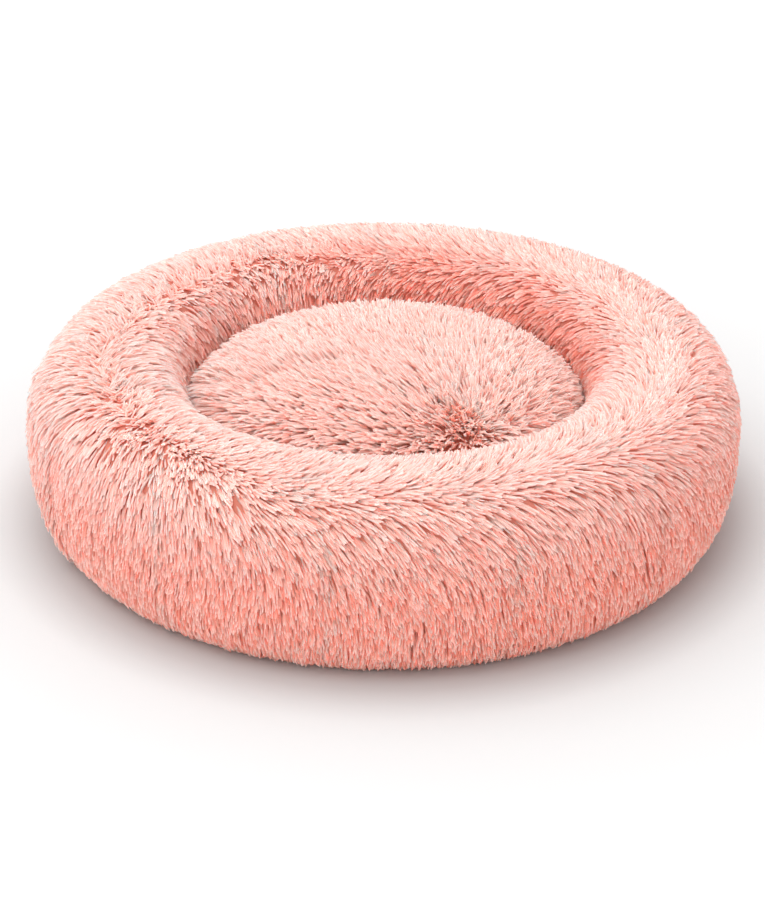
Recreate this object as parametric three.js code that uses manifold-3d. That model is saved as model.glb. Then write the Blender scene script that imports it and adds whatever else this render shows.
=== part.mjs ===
// Donut pet bed: a stuffed fur ring round a loose round cushion, on a cloth base with a zip.
// Millimetres, +Z up, the origin on the floor at the middle of the bed. The zip runs along X.

import * as THREE from "three";
import { mergeGeometries, mergeVertices } from "three/addons/utils/BufferGeometryUtils.js";
import Module from "manifold-3d";

const wasm = await Module();
wasm.setup();

// The whole bed
const wellRadius = 170; // the narrowest place of the well, to the tips of the pile
const wellSideWidth = 70; // from there out to the crest line, where the two fur panels are sewn together
const outerSideWidth = 60; // from the crest line out to the tips of the pile at the widest place
const widestHeight = 87; // the level at which the ring is widest, outside and in the well
const crestRise = 70; // from that level up to the crest
const seamGap = 0.3; // between pieces that touch

// Roundness of the curves: 1 is an ellipse, less is squarer
const outerTopShare = 0.86;
const wellTopShare = 0.74;
const footShare = 0.71;

// The ring: fur panels over a bag of fibre
const pileDepth = 16; // backing cloth and the pile that stands on it
const linerWall = 1; // nonwoven inner bag

// The base: a woven cloth, flat under the ring and drawn up inside it
const baseSeamOffset = 23; // from the crest line out to the seam of the base and the outer panel
const raisedSlope = 12; // run of the cloth from the floor up to the middle
const raisedHeight = 11; // the middle, held off the floor by the ring
const clothThickness = 1.2;
const bindingWidth = 7; // tape round the outer seam
const wellFloorThickness = 2;
const waddingThickness = 4;

// The zip in the base, with moulded teeth
const teethLength = 200;
const toothPitch = 5;
const toothThickness = 2.8;
const toothLock = 0.3; // how much wider a head is than the way out between two heads
const toothReach = 1.3; // how far a head passes the zip's middle line
const headLength = 1; // of a tooth's head, along the tooth
const headTipWidth = 1.5;
const rootWidth = 2.6;
const rootOverlap = 0.8; // how far a tooth's root runs on past the cord
const cordDiameter = 1.4; // thick edge of the tape, which the teeth grip
const cordClearance = 1.4; // from the cord to the tips of the far side's teeth
const tapeThickness = 0.6;
const tapeWidth = 12;
const tapeEnd = 8; // tape past the ends of the slot in the base
const stopLength = 3.4;
const stopWeb = 0.5; // back wall of a top stop
const slotClearance = 0.8; // between the slider and the cloth on each side
const slotEnd = 4; // from the stops and the slider to the ends of the slot

// The slider
const sliderLength = 14;
const plateThickness = 1;
const flangeThickness = 1;
const flangeFlare = 0.9; // how much wider the slider is on each side at its front
const runningGap = 0.3; // round the teeth
const tapeSlot = 0.5; // above and below the tape, between the flanges
const postLength = 4;
const postWidth = 2.8;
const crownLength = 10;
const crownOpening = 2; // height of the eye for the pull
const crownThickness = 1.2;
const crownWidth = 2.6;
const waddingClearance = 1; // above the slider

// The pull
const pullLength = 34;
const pullWidth = 7.6;
const pullThickness = 1.2;
const pullArm = 1.5; // width of the frame round its eye
const pullClearance = 0.4; // between the eye and the crown
const pullHoleRadius = 1.6; // small hole near its free end

// The loose cushion
const cushionClearance = 2; // to the well's narrowest place
const cushionSideHeight = 48.5; // from its underside up to its seam
const cushionCrownRise = 66; // from its seam up to the middle of its top
const cushionEdgeWidth = 45.5; // from its seam in to where its underside lies flat
const cushionTopShare = 0.67;
const cushionPile = 14;
const cushionLinerHole = 12; // filling hole left in the middle of the inner bag

// Steps along the curves
const roundSides = 32;
const cushionSides = 32;
const panelLowSteps = 3;
const panelHighSteps = 5;
const backLowSteps = 2;
const backHighSteps = 3;
const cushionSteps = 6;
const cushionFootSteps = 4;
const cordSides = 6;
const holeSides = 10;

// Places that follow from the sizes above
const crestRadius = wellRadius + wellSideWidth;
const bedRadius = crestRadius + outerSideWidth;
const baseRadius = crestRadius + baseSeamOffset;
const footHeight = clothThickness + seamGap;
const raisedTop = raisedHeight + clothThickness;
const zipMiddle = raisedTop + seamGap + cordDiameter / 2;
const channelHeight = toothThickness + 2 * runningGap;
const sliderTop = zipMiddle + channelHeight / 2 + plateThickness;
const sliderBottom = zipMiddle - channelHeight / 2 - plateThickness;
const waddingBottom = sliderTop + waddingClearance;
const wellFloorBottom = waddingBottom + waddingThickness + seamGap;
const cushionBottom = wellFloorBottom + wellFloorThickness + seamGap;
const cushionSeam = cushionBottom + cushionSideHeight;
const quarterTurn = Math.PI / 2;

// A squared quarter curve: its widest place at turn 0, its end above or below at turn 1
function quarterPoint(centre, middle, reach, rise, share, turn) {
  const angle = turn * quarterTurn;
  const along = Math.max(Math.cos(angle), 0) ** share;
  return new THREE.Vector2(centre + reach * along, middle + rise * Math.sin(angle) ** share);
}

function stepsBetween(from, to, steps) {
  return Array.from({ length: steps + 1 }, (_, i) => from + ((to - from) * i) / steps);
}

// A solid of revolution about Z, from a section that runs up its outer side and down its inner one
function revolve(points, sides) {
  return new THREE.LatheGeometry(points, sides).rotateX(quarterTurn);
}

function revolveLoop(points, sides) {
  return revolve([...points, points[0].clone()], sides);
}

// A flat outline in XY given a thickness along Z, standing on the level given
function plate(outline, thickness, level, holes = []) {
  const shape = new THREE.Shape(outline);
  shape.holes = holes.map((hole) => new THREE.Path(hole));
  const geometry = new THREE.ExtrudeGeometry(shape, { depth: thickness, bevelEnabled: false });
  return geometry.translate(0, 0, level);
}

// An outline in YZ given a length along X, from the start given
function bar(outline, length, start) {
  const shape = new THREE.Shape(outline);
  const geometry = new THREE.ExtrudeGeometry(shape, { depth: length, bevelEnabled: false });
  return geometry.rotateX(quarterTurn).rotateZ(quarterTurn).translate(start, 0, 0);
}

function block(xFrom, xTo, yFrom, yTo, zFrom, zTo) {
  const geometry = new THREE.BoxGeometry(xTo - xFrom, yTo - yFrom, zTo - zFrom);
  return geometry.translate((xFrom + xTo) / 2, (yFrom + yTo) / 2, (zFrom + zTo) / 2);
}

// Closed geometry as a solid that can be joined and cut, and back
function toSolid(geometry) {
  const bare = geometry.clone();
  bare.deleteAttribute("normal");
  bare.deleteAttribute("uv");
  const merged = mergeVertices(bare);
  const vertProperties = new Float32Array(merged.getAttribute("position").array);
  const triVerts = new Uint32Array(merged.index.array);
  return new wasm.Manifold(new wasm.Mesh({ numProp: 3, vertProperties, triVerts }));
}

function toGeometry(body) {
  const mesh = body.getMesh();
  const geometry = new THREE.BufferGeometry();
  geometry.setAttribute("position", new THREE.BufferAttribute(mesh.vertProperties, 3));
  geometry.setIndex(new THREE.BufferAttribute(mesh.triVerts, 1));
  geometry.computeVertexNormals();
  return geometry;
}

function joined(geometries) {
  return geometries.map(toSolid).reduce((whole, next) => whole.add(next));
}

// The ring's section. side is 1 on the outer half and -1 on the well's half.
// turn runs from -1 at the foot through 0 at the widest place to 1 at the crest.
function ringReach(side, inset) {
  const whole = side > 0 ? outerSideWidth : wellSideWidth;
  return whole - inset - seamGap / 2;
}

function ringDrop(inset) {
  return widestHeight - footHeight - Math.max(inset - pileDepth, 0);
}

function ringPoint(side, turn, inset) {
  const centre = crestRadius + (side * seamGap) / 2;
  const reach = side * ringReach(side, inset);
  if (turn < 0) {
    return quarterPoint(centre, widestHeight, reach, -ringDrop(inset), footShare, -turn);
  }
  const share = side > 0 ? outerTopShare : wellTopShare;
  return quarterPoint(centre, widestHeight, reach, crestRise - inset, share, turn);
}

function ringCurve(side, turns, inset) {
  return turns.map((turn) => ringPoint(side, turn, inset));
}

// Where the lower half of the section reaches a radius or a height
function turnAtRadius(side, radius, inset) {
  const along = (side * (radius - crestRadius) - seamGap / 2) / ringReach(side, inset);
  return -Math.acos(along ** (1 / footShare)) / quarterTurn;
}

function turnAtHeight(height, inset) {
  const down = (widestHeight - height) / ringDrop(inset);
  return -Math.asin(down ** (1 / footShare)) / quarterTurn;
}

function wellEdge(height) {
  const face = ringPoint(-1, turnAtHeight(height, 0), 0);
  return new THREE.Vector2(face.x - seamGap, height);
}

// Turns from the given place on the lower half, through the widest place, to the crest
function turnsFrom(start, lowSteps, highSteps) {
  return [...stepsBetween(start, 0, lowSteps), ...stepsBetween(0, 1, highSteps).slice(1)];
}

// The turns that the panels' backing and what lies under it share
function backTurns(side) {
  const atBase = turnAtRadius(1, baseRadius, pileDepth);
  const atRaised = turnAtHeight(raisedTop + seamGap, pileDepth);
  return turnsFrom(side > 0 ? atBase : atRaised, backLowSteps, backHighSteps);
}

function faceTurns(start) {
  return turnsFrom(start, panelLowSteps, panelHighSteps);
}

function outerPanel() {
  const outside = ringCurve(1, faceTurns(turnAtRadius(1, baseRadius, 0)), 0);
  const backing = ringCurve(1, backTurns(1).reverse(), pileDepth);
  return revolveLoop([...outside, ...backing], roundSides);
}

function wellPanel() {
  const backing = ringCurve(-1, backTurns(-1), pileDepth);
  const face = ringCurve(-1, faceTurns(turnAtHeight(raisedTop + seamGap, 0)).reverse(), 0);
  return revolveLoop([...backing, ...face], roundSides);
}

// The ring's whole section at an inset, from the foot over the crest and back down
function wholeSection(inset) {
  const outer = ringCurve(1, [-1, ...backTurns(1)], inset);
  const inner = ringCurve(-1, [-1, ...backTurns(-1)], inset);
  return [...outer, ...inner.reverse()];
}

// The inner bag closes at its foot with a seam that is left as a slit
function ringLiner() {
  const outside = wholeSection(pileDepth + seamGap);
  const inside = wholeSection(pileDepth + seamGap + linerWall).reverse();
  return revolveLoop([...outside, ...inside], roundSides);
}

function ringFill() {
  return revolveLoop(wholeSection(pileDepth + linerWall + 2 * seamGap), roundSides);
}

function baseBinding() {
  const edge = ringPoint(1, turnAtRadius(1, baseRadius, 0), 0);
  const top = edge.y - seamGap;
  const middle = (footHeight + top) / 2;
  const section = [
    [baseRadius - bindingWidth, footHeight],
    [baseRadius - clothThickness, footHeight],
    [baseRadius, middle],
    [baseRadius - clothThickness, top],
    [baseRadius - bindingWidth, top],
  ];
  return revolveLoop(section.map(([r, z]) => new THREE.Vector2(r, z)), roundSides);
}

// A round sheet that fills the well between two levels
function wellDisc(bottom, top) {
  const section = [
    new THREE.Vector2(0, bottom),
    wellEdge(bottom),
    wellEdge(top),
    new THREE.Vector2(0, top),
  ];
  return revolve(section, roundSides);
}

// The zip's sizes across and along
const cordPlace = toothReach + cordClearance + cordDiameter / 2;
const rootEnd = cordPlace + cordDiameter / 2 + rootOverlap;
const headWidth = (toothPitch + toothLock) / 2;
const neckWidth = toothPitch - headWidth - 2 * runningGap;
const tapeOuter = cordPlace + tapeWidth;
const flangeInside = rootEnd + runningGap;
const sliderHalfRear = flangeInside + flangeThickness;
const sliderHalfFront = sliderHalfRear + flangeFlare;
const slotHalf = sliderHalfFront + slotClearance;
const toothCount = Math.floor(teethLength / toothPitch);
const teethStart = -teethLength / 2;
const toothHalf = Math.max(headWidth, rootWidth) / 2;
const teethEnd = teethStart + (toothCount - 1 / 2) * toothPitch + toothHalf;
const postStart = teethEnd + runningGap;
const sliderFront = postStart + postLength + plateThickness;
const sliderRear = sliderFront - sliderLength;
const bottomStopEnd = teethStart - toothHalf - runningGap;
const slotStart = bottomStopEnd - stopLength - slotEnd;
const slotFinish = sliderFront + slotEnd;

// One half of the base cloth, with the zip's slot cut from its straight edge
function basePanel(side) {
  const seat = ringPoint(-1, turnAtHeight(raisedTop + seamGap, pileDepth), pileDepth);
  const raisedRadius = seat.x - clothThickness - seamGap;
  const foot = raisedRadius + raisedSlope;
  const section = [
    [0, raisedHeight],
    [raisedRadius, raisedHeight],
    [foot, 0],
    [baseRadius, 0],
    [baseRadius, clothThickness],
    [foot + clothThickness, clothThickness],
    [raisedRadius + clothThickness, raisedTop],
    [0, raisedTop],
  ].map(([r, z]) => new THREE.Vector2(r, z));
  const disc = toSolid(revolve(section, roundSides));
  const near = (side * seamGap) / 2;
  const far = side * bedRadius;
  const yFrom = Math.min(near, far);
  const yTo = Math.max(near, far);
  const half = block(-bedRadius, bedRadius, yFrom, yTo, -raisedTop, 2 * raisedTop);
  const slot = block(slotStart, slotFinish, -slotHalf, slotHalf, 0, 2 * raisedTop);
  return toGeometry(disc.intersect(toSolid(half)).subtract(toSolid(slot)));
}

// One tooth of the row on the -Y side, seen from above, its head towards +Y
function toothOutline() {
  const half = [
    [rootWidth / 2, -rootEnd],
    [neckWidth / 2, toothReach - headLength],
    [headWidth / 2, toothReach - headLength + runningGap],
    [headTipWidth / 2, toothReach],
  ];
  const mirrored = half.map(([x, y]) => [-x, y]).reverse();
  return [...half, ...mirrored].map(([x, y]) => new THREE.Vector2(x, y));
}

function teethRow(side) {
  const outline = toothOutline();
  const level = zipMiddle - toothThickness / 2;
  const shift = side < 0 ? 0 : toothPitch / 2;
  const teeth = Array.from({ length: toothCount }, (_, i) => {
    const tooth = plate(outline, toothThickness, level);
    if (side > 0) {
      tooth.rotateZ(Math.PI);
    }
    return tooth.translate(teethStart + shift + i * toothPitch, 0, 0);
  });
  return mergeGeometries(teeth);
}

// A tape with its thick edge and its row of teeth
function zipTape(side) {
  const start = slotStart - tapeEnd;
  const finish = slotFinish + tapeEnd;
  const near = side * cordPlace;
  const far = side * tapeOuter;
  const low = zipMiddle - tapeThickness / 2;
  const yFrom = Math.min(near, far);
  const yTo = Math.max(near, far);
  const cloth = block(start, finish, yFrom, yTo, low, low + tapeThickness);
  const cord = new THREE.CylinderGeometry(cordDiameter / 2, cordDiameter / 2, finish - start, cordSides);
  cord.rotateY(quarterTurn / 2).rotateZ(quarterTurn);
  cord.translate((start + finish) / 2, near, zipMiddle);
  return toGeometry(joined([cloth, cord, teethRow(side)]));
}

// A U pressed over the tape's thick edge, just past the last tooth
function topStop(side) {
  const web = cordPlace - cordDiameter / 2 - seamGap;
  const inner = cordDiameter / 2 + seamGap;
  const outer = toothThickness / 2;
  const section = [
    [web - stopWeb, -outer],
    [rootEnd, -outer],
    [rootEnd, -inner],
    [web, -inner],
    [web, inner],
    [rootEnd, inner],
    [rootEnd, outer],
    [web - stopWeb, outer],
  ].map(([y, z]) => new THREE.Vector2(side * y, zipMiddle + z));
  return bar(section, stopLength, postStart);
}

// An H that holds both tapes together at the far end
function bottomStop() {
  const web = cordPlace - cordDiameter / 2 - seamGap;
  const inner = cordDiameter / 2 + seamGap;
  const outer = toothThickness / 2;
  const right = [
    [rootEnd, -outer],
    [rootEnd, -inner],
    [web, -inner],
    [web, inner],
    [rootEnd, inner],
    [rootEnd, outer],
  ];
  const left = right.map(([y, z]) => [-y, z]).reverse();
  const section = [...right, ...left].map(([y, z]) => new THREE.Vector2(y, zipMiddle + z));
  return bar(section, stopLength, bottomStopEnd - stopLength);
}

// A slider plate from above: straight at the rear, wider at the front, with cut corners
function sliderOutline() {
  const middle = sliderRear + sliderLength / 2;
  const half = [
    [sliderRear, sliderHalfRear - flangeThickness],
    [sliderRear + flangeThickness, sliderHalfRear],
    [middle, sliderHalfRear],
    [sliderFront - flangeThickness, sliderHalfFront],
    [sliderFront, sliderHalfFront - flangeThickness],
  ];
  const mirrored = half.map(([x, y]) => [x, -y]).reverse();
  return [...mirrored, ...half].map(([x, y]) => new THREE.Vector2(x, y));
}

function sliderFlange(side) {
  const middle = sliderRear + sliderLength / 2;
  const half = [
    [sliderRear + flangeThickness, flangeInside],
    [middle, flangeInside],
    [sliderFront - flangeThickness, flangeInside + flangeFlare],
    [sliderFront - flangeThickness, sliderHalfFront],
    [middle, sliderHalfRear],
    [sliderRear + flangeThickness, sliderHalfRear],
  ];
  return half.map(([x, y]) => new THREE.Vector2(x, side * y));
}

function zipSlider() {
  const lipHeight = channelHeight / 2 - tapeThickness / 2 - tapeSlot + plateThickness;
  const plates = [sliderBottom, sliderTop - plateThickness].map((level) =>
    plate(sliderOutline(), plateThickness, level),
  );
  const flanges = [1, -1].flatMap((side) =>
    [sliderBottom, sliderTop - lipHeight].map((level) => plate(sliderFlange(side), lipHeight, level)),
  );
  const postMiddle = postStart + postLength / 2;
  const diamond = [
    [postStart, 0],
    [postMiddle, -postWidth / 2],
    [postStart + postLength, 0],
    [postMiddle, postWidth / 2],
  ].map(([x, y]) => new THREE.Vector2(x, y));
  const post = plate(diamond, sliderTop - sliderBottom, sliderBottom);
  return toGeometry(joined([...plates, ...flanges, post, sliderCrown()]));
}

// The arch under the slider that holds the pull
const crownMiddle = sliderRear + sliderLength / 2;
const crownDrop = crownOpening + crownThickness;
function sliderCrown() {
  const half = crownLength / 2;
  const bend = crownThickness;
  const outline = [
    [-half, plateThickness],
    [-half, bend - crownDrop],
    [bend - half, -crownDrop],
    [half - bend, -crownDrop],
    [half, bend - crownDrop],
    [half, plateThickness],
    [half - bend, plateThickness],
    [half - bend, -crownOpening],
    [bend - half, -crownOpening],
    [bend - half, plateThickness],
  ].map(([x, z]) => new THREE.Vector2(crownMiddle + x, sliderBottom + z));
  const shape = new THREE.Shape(outline);
  const arch = new THREE.ExtrudeGeometry(shape, { depth: crownWidth, bevelEnabled: false });
  return arch.rotateX(quarterTurn).translate(0, crownWidth / 2, 0);
}

// The pull hangs by the bar at the start of its eye and lies along +X
const pullLevel = sliderBottom - crownOpening / 2;
const eyeHalf = crownWidth / 2 + pullClearance;
const eyeStart = pullThickness / 2;
const eyeEnd = Math.hypot(crownLength / 2, crownDrop - crownOpening / 2) + pullClearance;
function zipPull() {
  const neck = eyeHalf + pullArm;
  const wide = pullWidth / 2;
  const shoulder = eyeEnd + pullArm;
  const end = pullLength - eyeStart;
  const half = [
    [-eyeStart, neck],
    [shoulder, neck],
    [shoulder + wide, wide],
    [end - pullArm, wide],
    [end, wide - pullArm],
  ];
  const mirrored = half.map(([x, y]) => [x, -y]);
  const outline = [...mirrored, ...half.reverse()].map(([x, y]) => new THREE.Vector2(x, y));
  const eye = [
    [eyeStart, -eyeHalf],
    [eyeStart, eyeHalf],
    [eyeEnd, eyeHalf],
    [eyeEnd, -eyeHalf],
  ].map(([x, y]) => new THREE.Vector2(x, y));
  const holeMiddle = end - wide;
  const hole = Array.from({ length: holeSides }, (_, i) => {
    const angle = (-i * 2 * Math.PI) / holeSides;
    const x = holeMiddle + pullHoleRadius * Math.cos(angle);
    return new THREE.Vector2(x, pullHoleRadius * Math.sin(angle));
  });
  const flat = plate(outline, pullThickness, pullLevel - pullThickness / 2, [eye, hole]);
  return flat.translate(crownMiddle, 0, 0);
}

// The cushion's section, at an inset from its outside
const cushionRadius = wellRadius - cushionClearance;
const cushionSeamRadius = cushionRadius - cushionPile + clothThickness + seamGap;
const cushionFlatRadius = cushionSeamRadius - cushionEdgeWidth;
function cushionTopCurve(inset, from, to) {
  const middle = cushionSeam + seamGap / 2;
  const rise = cushionCrownRise - inset;
  return stepsBetween(from, to, cushionSteps).map((turn) =>
    quarterPoint(0, middle, cushionRadius - inset, rise, cushionTopShare, turn),
  );
}

function cushionFootCurve(inset, from, to) {
  const middle = cushionSeam - seamGap / 2;
  const reach = cushionSeamRadius - cushionFlatRadius - inset;
  const drop = middle - cushionBottom - inset;
  return stepsBetween(from, to, cushionFootSteps).map((turn) =>
    quarterPoint(cushionFlatRadius, middle, reach, -drop, footShare, turn),
  );
}

function cushionFur() {
  const section = [...cushionTopCurve(0, 0, 1), ...cushionTopCurve(cushionPile, 1, 0)];
  return revolveLoop(section, cushionSides);
}

function cushionCloth() {
  const inside = cushionFootCurve(clothThickness, 0, 1);
  const outside = cushionFootCurve(0, 1, 0);
  const axisOutside = new THREE.Vector2(0, cushionBottom);
  const axisInside = new THREE.Vector2(0, cushionBottom + clothThickness);
  return revolve([axisOutside, ...outside, ...inside, axisInside], cushionSides);
}

// The cushion's inner bag, with the hole it is filled through in the middle of its underside
function cushionLiner() {
  const footOutside = clothThickness + seamGap;
  const topOutside = cushionPile + seamGap;
  const bottom = cushionBottom + footOutside;
  const section = [
    new THREE.Vector2(cushionLinerHole, bottom),
    ...cushionFootCurve(footOutside, 1, 0),
    ...cushionTopCurve(topOutside, 0, 1),
    ...cushionTopCurve(topOutside + linerWall, 1, 0),
    ...cushionFootCurve(footOutside + linerWall, 0, 1),
    new THREE.Vector2(cushionLinerHole, bottom + linerWall),
  ];
  return revolveLoop(section, cushionSides);
}

function cushionFill() {
  const footInset = clothThickness + linerWall + 2 * seamGap;
  const topInset = cushionPile + linerWall + 2 * seamGap;
  const section = [
    new THREE.Vector2(0, cushionBottom + footInset),
    ...cushionFootCurve(footInset, 1, 0),
    ...cushionTopCurve(topInset, 0, 1),
  ];
  return revolve(section, cushionSides);
}

// Colours, roughness and metalness of the finishes
const finishes = {
  ringFur: ["#e8b0a0", 0.95, 0],
  cushionFur: ["#f2c3b6", 0.95, 0],
  baseCloth: ["#c9a097", 0.85, 0],
  nonwoven: ["#f1eeea", 0.9, 0],
  fibre: ["#fbfaf7", 1, 0],
  binding: ["#c48f84", 0.8, 0],
  zipTape: ["#d3a297", 0.8, 0],
  zipMetal: ["#b9b4b0", 0.35, 1],
  zipResin: ["#d8a99d", 0.45, 0],
};

const bed = new THREE.Group();

function addPiece(name, geometry, finish) {
  const [color, roughness, metalness] = finishes[finish];
  const mesh = new THREE.Mesh(geometry, new THREE.MeshStandardMaterial({ color, roughness, metalness }));
  mesh.name = name;
  bed.add(mesh);
}

addPiece("bolster_outer_panel", outerPanel(), "ringFur");
addPiece("bolster_inner_panel", wellPanel(), "ringFur");
addPiece("bolster_liner", ringLiner(), "nonwoven");
addPiece("bolster_fill", ringFill(), "fibre");
addPiece("base_binding", baseBinding(), "binding");
addPiece("base_panel_front", basePanel(-1), "baseCloth");
addPiece("base_panel_rear", basePanel(1), "baseCloth");
addPiece("base_wadding", wellDisc(waddingBottom, wellFloorBottom - seamGap), "fibre");
addPiece("well_floor_panel", wellDisc(wellFloorBottom, cushionBottom - seamGap), "ringFur");
addPiece("zip_tape_front", zipTape(-1), "zipTape");
addPiece("zip_tape_rear", zipTape(1), "zipTape");
addPiece("zip_top_stop_front", topStop(-1), "zipResin");
addPiece("zip_top_stop_rear", topStop(1), "zipResin");
addPiece("zip_bottom_stop", bottomStop(), "zipResin");
addPiece("zip_slider", zipSlider(), "zipMetal");
addPiece("zip_pull", zipPull(), "zipMetal");
addPiece("cushion_fur_top", cushionFur(), "cushionFur");
addPiece("cushion_base_cloth", cushionCloth(), "baseCloth");
addPiece("cushion_liner", cushionLiner(), "nonwoven");
addPiece("cushion_fill", cushionFill(), "fibre");

export default bed;
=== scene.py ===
import math

import bmesh
import bpy
import numpy as np
from mathutils import Matrix, Vector, kdtree


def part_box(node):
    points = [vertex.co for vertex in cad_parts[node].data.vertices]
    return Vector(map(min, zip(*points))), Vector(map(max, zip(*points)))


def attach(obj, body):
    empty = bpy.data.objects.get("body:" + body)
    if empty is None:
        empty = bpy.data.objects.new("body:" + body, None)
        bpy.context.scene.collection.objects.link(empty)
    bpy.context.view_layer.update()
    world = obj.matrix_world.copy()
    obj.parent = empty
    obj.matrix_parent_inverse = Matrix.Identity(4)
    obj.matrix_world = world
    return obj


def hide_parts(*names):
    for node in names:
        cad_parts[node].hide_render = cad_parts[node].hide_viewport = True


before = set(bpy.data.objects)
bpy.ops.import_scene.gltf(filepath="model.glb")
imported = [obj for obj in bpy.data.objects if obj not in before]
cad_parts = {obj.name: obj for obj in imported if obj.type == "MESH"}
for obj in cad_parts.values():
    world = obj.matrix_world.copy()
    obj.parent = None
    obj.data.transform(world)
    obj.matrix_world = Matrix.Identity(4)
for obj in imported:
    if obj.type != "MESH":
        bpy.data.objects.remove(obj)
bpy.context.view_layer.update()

# The plush donut bed: a fur ring, a loose fur cushion, and a woven base with a zip.
# Metres, +Z up, the camera stands at -Y.
mm = 0.001


# Meshes
def newPiece(name, mesh, material, body, node=None):
    # moves with a body, and stands for a CAD node where one is named
    mesh.materials.append(material)
    piece = bpy.data.objects.new(name, mesh)
    bpy.context.scene.collection.objects.link(piece)
    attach(piece, body)
    if node:
        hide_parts(node)
    return piece


def smoothMesh(mesh, sharpAngle):
    mesh.polygons.foreach_set("use_smooth", [True] * len(mesh.polygons))
    mesh.set_sharp_from_angle(angle=math.radians(sharpAngle))


def newMesh(name, vertices, faces, sharpAngle=50):
    mesh = bpy.data.meshes.new(name)
    mesh.from_pydata([tuple(v) for v in vertices], [], [tuple(f) for f in faces])
    work = bmesh.new()
    work.from_mesh(mesh)
    bmesh.ops.recalc_face_normals(work, faces=work.faces)
    work.to_mesh(mesh)
    work.free()
    smoothMesh(mesh, sharpAngle)
    return mesh


def loftFaces(start, rings, sides, tip=False):
    # joins rings of points that follow each other, and closes both ends or runs to a tip
    faces = []
    for low in range(start, start + (rings - 1) * sides, sides):
        for k in range(sides):
            n = (k + 1) % sides
            faces.append((low + k, low + n, low + n + sides, low + k + sides))
    last = start + (rings - 1) * sides
    faces.append(tuple(range(start + sides - 1, start - 1, -1)))
    if tip:
        return faces + [(last + k, last + (k + 1) % sides, last + sides) for k in range(sides)]
    return faces + [tuple(range(last, last + sides))]


def revolvedMesh(name, loops, sides, lumps=None):
    # each loop is a closed section of radius and height; a radius of 0 makes a pole
    angles = np.arange(sides) * 2 * math.pi / sides
    vertices, faces = [], []
    for loop in loops:
        rows = []
        for radius, height in loop:
            start = len(vertices)
            if radius < 1e-6:
                vertices.append((0.0, 0.0, height))
                rows.append([start] * sides)
                continue
            r, z = np.full(sides, radius), np.full(sides, height)
            if lumps is not None:
                r, z = lumps(angles, r, z)
            vertices += list(zip(r * np.cos(angles), r * np.sin(angles), z))
            rows.append(list(range(start, start + sides)))
        for here, there in zip(rows, rows[1:] + rows[:1]):
            for k in range(sides):
                n = (k + 1) % sides
                corners = list(dict.fromkeys((here[k], here[n], there[n], there[k])))
                if len(corners) > 2:
                    faces.append(corners)
    return newMesh(name, vertices, faces)


def smoothStep(value, low, high):
    t = np.clip((value - low) / (high - low), 0, 1)
    return t * t * (3 - 2 * t)


# Materials
def linearColour(hexCode):
    values = [int(hexCode[i:i + 2], 16) / 255 for i in (1, 3, 5)]
    linear = [v / 12.92 if v <= 0.04045 else ((v + 0.055) / 1.055) ** 2.4 for v in values]
    return (*linear, 1.0)


def newMaterial(name):
    material = bpy.data.materials.new(name)
    material.use_nodes = True
    material.node_tree.nodes.clear()
    return material, material.node_tree


def addNode(tree, kind, values=None, links=None, **settings):
    node = tree.nodes.new(kind)
    for name, value in settings.items():
        setattr(node, name, value)
    for socket, value in (values or {}).items():
        node.inputs[socket].default_value = value
    for socket, source in (links or {}).items():
        tree.links.new(source, node.inputs[socket])
    return node


def setRamp(ramp, stops):
    # stops are (place, hex colour) pairs, in order
    elements = ramp.color_ramp.elements
    while len(elements) < len(stops):
        elements.new(1.0)
    for element, (place, colour) in zip(elements, stops):
        element.position = place
        element.color = linearColour(colour)


# Acrylic plush: dyed fibres drawn into soft tufts, deeper towards the root, partly their dye and
# partly painted shade down in the pile, and pale at the brushed tip, which ends in a painted
# highlight.
# Light soaks through them, so shade turns salmon instead of grey, and each tuft's edges are
# painted deeper, a painted shade that makes it look round.
plush = {
    "tintSteps": 12,  # the map's U holds a tuft's tint in steps, and its edge or ridge in each step
    "edgeShare": 0.08,
    "ridgeShare": 0.44,  # where the edge's painted shade has faded
    # painted shade: the tone multiplied in at a tuft's edges, so that it looks round
    "edgeShadeTone": "#ffd4c8",
    "soakDepth": 2.8 * mm,
    "soakColours": (1.0, 0.46, 0.40),
    "roughness": 0.8,
    # each ramp runs from root to tip: the deep first stops partly paint shade down in the pile, and
    # the near-white last stop paints a highlight at the tip
    "ringDeep": [(0.0, "#ff8f78"), (0.40, "#fea590"), (0.84, "#fdc7b9"), (1.0, "#ffede7")],
    "ringPale": [(0.0, "#ffcfc2"), (0.40, "#fee3d9"), (0.84, "#fff1ec"), (1.0, "#fffcfa")],
    "cushionDeep": [(0.0, "#ffa38e"), (0.40, "#febaa9"), (0.84, "#fdd5ca"), (1.0, "#ffefe9")],
    "cushionPale": [(0.0, "#ffd3c8"), (0.40, "#fee5dc"), (0.84, "#fff2ed"), (1.0, "#fffcfa")],
}


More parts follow.
